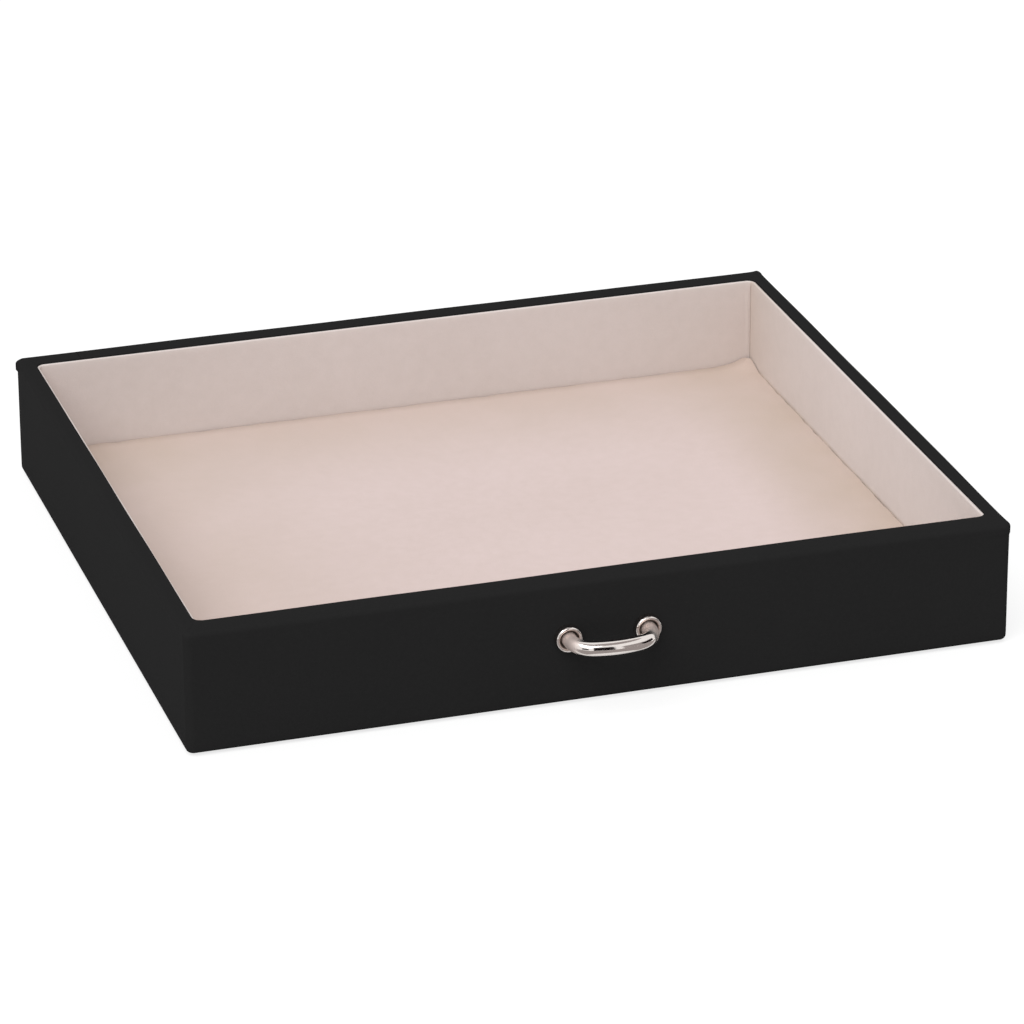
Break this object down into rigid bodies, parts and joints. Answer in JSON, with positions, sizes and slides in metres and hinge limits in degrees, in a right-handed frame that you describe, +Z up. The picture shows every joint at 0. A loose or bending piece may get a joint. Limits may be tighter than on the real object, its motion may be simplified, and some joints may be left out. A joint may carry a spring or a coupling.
{
  "type": "jewellery box drawer",
  "caption": "Shallow jewellery-box drawer: open wrapped board tray with velvet-lined walls, a padded velvet floor and a small fixed bow handle on its front.",
  "frame": {"origin": "centre of the flat underside, on the table", "axes": "+X to the right across the drawer seen from the front, -Y the way the front and its handle face, +Z up, out of the open top"},
  "size_m": [0.26, 0.2381, 0.04],
  "materials": {
    "fibreboard": "raw fibreboard, smooth, unpainted",
    "brad_steel": "bright drawn wire",
    "lining_card": "plain stiff card",
    "velvet": "short-pile pink-beige velvet",
    "polished_nickel": "polished nickel plate, slightly warm",
    "zinc_steel": "zinc plated",
    "leatherette": "matt black leatherette with a fine smooth grain",
    "felt": "thin black felt",
    "foam": "thin open-cell foam"
  },
  "bodies": {
    "root": {"back_board": "fibreboard", "back_lining_card": "lining_card", "back_lining_velvet": "velvet", "bottom_board": "fibreboard", "bottom_brads": "brad_steel", "corner_brads": "brad_steel", "floor_card": "lining_card", "floor_foam": "foam", "floor_velvet": "velvet", "front_board": "fibreboard", "front_lining_card": "lining_card", "front_lining_velvet": "velvet", "handle_bow": "polished_nickel", "left_board": "fibreboard", "left_handle_screw": "zinc_steel", "left_handle_washer": "zinc_steel", "left_lining_card": "lining_card", "left_lining_velvet": "velvet", "left_rosette": "polished_nickel", "outer_wrap": "leatherette", "right_board": "fibreboard", "right_handle_screw": "zinc_steel", "right_handle_washer": "zinc_steel", "right_lining_card": "lining_card", "right_lining_velvet": "velvet", "right_rosette": "polished_nickel", "underside_felt": "felt"}
  },
  "joints": []
}
